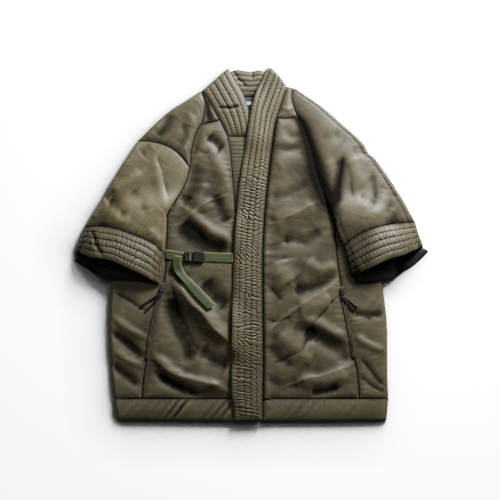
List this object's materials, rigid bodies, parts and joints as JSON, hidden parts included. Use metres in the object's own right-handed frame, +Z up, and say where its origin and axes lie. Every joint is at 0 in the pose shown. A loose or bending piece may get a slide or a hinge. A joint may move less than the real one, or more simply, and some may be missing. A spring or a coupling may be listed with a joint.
{
  "type": "padded kimono jacket laid flat",
  "caption": "Padded open-front kimono jacket with half sleeves, quilted collar band and cuffs, zipped pockets and a webbing belt, laid flat.",
  "frame": {"origin": "on the surface that the jacket lies on, under the middle of its outline", "axes": "+Z up out of the front of the laid jacket, +Y from the hem to the collar, +X to the wearer's left side"},
  "size_m": [0.78, 0.7761, 0.0484],
  "materials": {
    "nylon": "olive drab nylon twill with a satin sheen",
    "elbow_nylon": "lighter olive nylon with a satin sheen",
    "cuff_inside": "dark olive nylon, quilted",
    "label": "woven, navy",
    "webbing": "ribbed olive green webbing",
    "buckle": "black moulded plastic",
    "zip_tape": "black tape and teeth",
    "zip_metal": "gunmetal",
    "puller": "black, smooth"
  },
  "bodies": {
    "jacket": {"back_panel": "nylon", "back_hem_band": "nylon", "neck_stand": "nylon", "neck_label": "label", "yoke_right": "nylon", "front_right": "nylon", "side_right": "nylon", "hem_band_right": "nylon", "collar_right": "nylon", "band_right": "nylon", "yoke_left": "nylon", "front_left": "nylon", "side_left": "nylon", "hem_band_left": "nylon", "band_left": "nylon", "sleeve_right_back": "nylon", "sleeve_right_shoulder": "nylon", "sleeve_right_elbow": "elbow_nylon", "cuff_right_back": "cuff_inside", "cuff_right_front": "nylon", "sleeve_left_back": "nylon", "sleeve_left_front": "nylon", "cuff_left_back": "cuff_inside", "cuff_left_front": "nylon", "belt_strap_right": "webbing", "belt_strap_left": "webbing", "belt_tail": "webbing", "buckle_socket": "buckle", "buckle_plug": "buckle", "zip_right": "zip_tape", "slider_right": "zip_metal", "zip_left": "zip_tape", "slider_left": "zip_metal"},
    "pull_right": {"pull_link_right": "zip_metal", "puller_right_1": "puller", "puller_right_2": "puller"},
    "pull_left": {"pull_link_left": "zip_metal", "puller_left_1": "puller", "puller_left_2": "puller"}
  },
  "joints": [
    {"name": "pull_right_hinge", "type": "hinge", "parent": "jacket", "child": "pull_right", "pos_m": [-0.19676, -0.1, 0.01887], "axis": [-0.9566, 0.2914, 0], "range_deg": [0, 120]},
    {"name": "pull_left_hinge", "type": "hinge", "parent": "jacket", "child": "pull_left", "pos_m": [0.19866, -0.104, 0.01806], "axis": [-0.9856, -0.1691, 0], "range_deg": [0, 120]}
  ]
}
